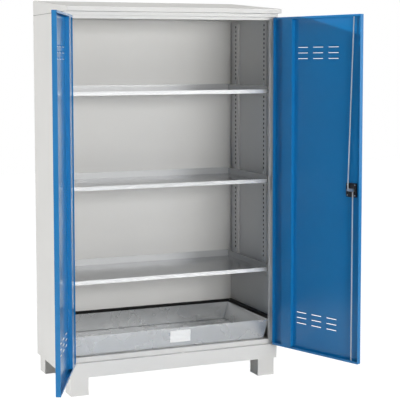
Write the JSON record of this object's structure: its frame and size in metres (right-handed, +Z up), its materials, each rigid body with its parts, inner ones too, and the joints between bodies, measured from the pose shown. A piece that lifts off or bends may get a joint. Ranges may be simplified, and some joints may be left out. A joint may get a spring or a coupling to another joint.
{
  "type": "dangerous goods storage cabinet",
  "caption": "Steel storage cabinet for hazardous goods with two vented wing doors, adjustable tray shelves, a sump tray, a sloping roof and square feet.",
  "frame": {"origin": "middle of the front left foot's sole, on the floor", "axes": "+X from the cabinet's left side to its right side, +Y from its front to its back, +Z up"},
  "size_m": [1.6554, 1.1748, 2.0955],
  "materials": {
    "grey_paint": "smooth light grey powder coat, half gloss",
    "blue_paint": "smooth blue powder coat, glossy",
    "galvanised_sheet": "galvanised sheet, matt with a faint spangle",
    "zinc_plated_steel": "bright zinc plating",
    "black_polyamide": "moulded, matt",
    "seal_rubber": "matt foam rubber",
    "white_plate": "bare white plate"
  },
  "bodies": {
    "carcass": {"left_side_panel": "grey_paint", "right_side_panel": "grey_paint", "back_panel": "grey_paint", "floor_panel": "grey_paint", "top_panel": "grey_paint", "header": "grey_paint", "plinth": "grey_paint", "roof": "grey_paint", "front_left_foot": "grey_paint", "front_right_foot": "grey_paint", "rear_left_foot": "grey_paint", "rear_right_foot": "grey_paint", "front_left_rail": "grey_paint", "front_right_rail": "grey_paint", "rear_left_rail": "grey_paint", "rear_right_rail": "grey_paint", "upper_shelf": "galvanised_sheet", "middle_shelf": "galvanised_sheet", "lower_shelf": "galvanised_sheet", "upper_shelf_clip_front_left": "zinc_plated_steel", "upper_shelf_clip_front_right": "zinc_plated_steel", "upper_shelf_clip_rear_left": "zinc_plated_steel", "upper_shelf_clip_rear_right": "zinc_plated_steel", "middle_shelf_clip_front_left": "zinc_plated_steel", "middle_shelf_clip_front_right": "zinc_plated_steel", "middle_shelf_clip_rear_left": "zinc_plated_steel", "middle_shelf_clip_rear_right": "zinc_plated_steel", "lower_shelf_clip_front_left": "zinc_plated_steel", "lower_shelf_clip_front_right": "zinc_plated_steel", "lower_shelf_clip_rear_left": "zinc_plated_steel", "lower_shelf_clip_rear_right": "zinc_plated_steel", "sump_tray": "galvanised_sheet", "sump_seal": "seal_rubber", "sump_plate": "white_plate", "left_upper_hinge_frame_half": "grey_paint", "left_middle_hinge_frame_half": "grey_paint", "left_lower_hinge_frame_half": "grey_paint", "right_upper_hinge_frame_half": "grey_paint", "right_middle_hinge_frame_half": "grey_paint", "right_lower_hinge_frame_half": "grey_paint"},
    "left_door": {"left_door_leaf": "blue_paint", "left_door_stiffener": "blue_paint", "left_upper_hinge_door_half": "blue_paint", "left_middle_hinge_door_half": "blue_paint", "left_lower_hinge_door_half": "blue_paint"},
    "right_door": {"right_door_leaf": "blue_paint", "right_door_stiffener": "blue_paint", "right_upper_hinge_door_half": "blue_paint", "right_middle_hinge_door_half": "blue_paint", "right_lower_hinge_door_half": "blue_paint", "upper_rod_guide": "black_polyamide", "lower_rod_guide": "black_polyamide", "lock_housing": "black_polyamide", "handle_rose": "black_polyamide"},
    "lock": {"handle": "black_polyamide", "lock_spindle": "zinc_plated_steel", "lock_cam": "zinc_plated_steel"},
    "key_cylinder": {"lock_cylinder": "zinc_plated_steel"},
    "upper_rod": {"upper_rod": "zinc_plated_steel"},
    "lower_rod": {"lower_rod": "zinc_plated_steel"}
  },
  "joints": [
    {"name": "left_door_hinge", "type": "hinge", "parent": "carcass", "child": "left_door", "pos_m": [-0.0535, -0.06, 1.0845], "axis": [0, 0, -1], "range_deg": [-114.26, 65.74]},
    {"name": "right_door_hinge", "type": "hinge", "parent": "carcass", "child": "right_door", "pos_m": [1.1455, -0.06, 1.0845], "axis": [0, 0, 1], "range_deg": [-110.72, 69.28]},
    {"name": "handle_turn", "type": "hinge", "parent": "right_door", "child": "lock", "pos_m": [1.33046, -0.5631, 1.0845], "axis": [0.9353, 0.3538, 0], "range_deg": [0, 90]},
    {"name": "key_turn", "type": "hinge", "parent": "lock", "child": "key_cylinder", "pos_m": [1.34449, -0.55779, 1.0845], "axis": [0.9353, 0.3538, 0], "range_deg": [0, 90]},
    {"name": "upper_rod_pivot", "type": "hinge", "parent": "lock", "child": "upper_rod", "pos_m": [1.30881, -0.55419, 1.0845], "axis": [0.9353, 0.3538, 0], "range_deg": [-92, 1]},
    {"name": "lower_rod_pivot", "type": "hinge", "parent": "lock", "child": "lower_rod", "pos_m": [1.32013, -0.58412, 1.0845], "axis": [0.9353, 0.3538, 0], "range_deg": [-92, 1]}
  ],
  "couplings": [
    {"joint": "upper_rod_pivot", "follows": "handle_turn", "ratio": -1.0112},
    {"joint": "lower_rod_pivot", "follows": "handle_turn", "ratio": -1.0112}
  ]
}
